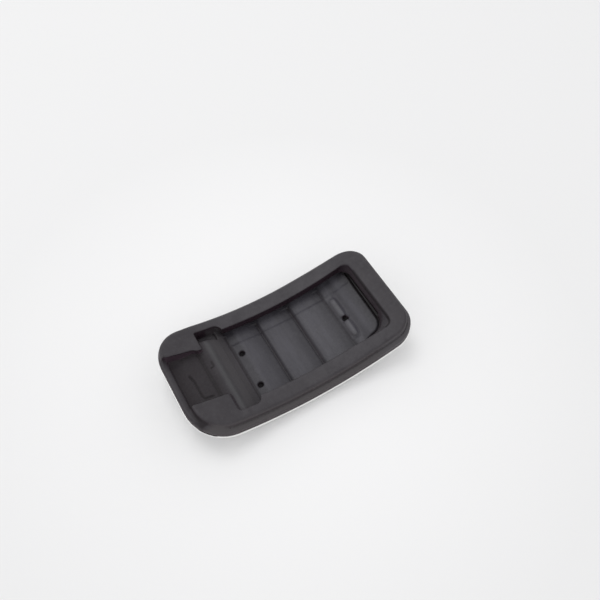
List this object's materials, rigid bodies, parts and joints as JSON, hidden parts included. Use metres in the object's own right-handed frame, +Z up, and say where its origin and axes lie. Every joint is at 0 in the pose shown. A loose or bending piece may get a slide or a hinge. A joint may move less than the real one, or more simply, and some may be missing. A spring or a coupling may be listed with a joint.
{
  "type": "slip-on pedal pad",
  "caption": "Black rubber slip-on pad for a foot pedal, lying on its steel-faced tread with the ribbed cavity up.",
  "frame": {"origin": "centre of the bounding box in plan, on the ground plane under the two middle tread bars", "axes": "+X towards the nose along the pad's length, +Y towards the far side, +Z up out of the cavity; the pad lies on its tread"},
  "size_m": [0.1268, 0.0664, 0.0247],
  "materials": {
    "moulded_rubber": "matte charcoal black, moulded",
    "steel_face": "fine brushed, satin"
  },
  "bodies": {
    "root": {"rubber_boot": "moulded_rubber", "face_plate": "steel_face"}
  },
  "joints": []
}
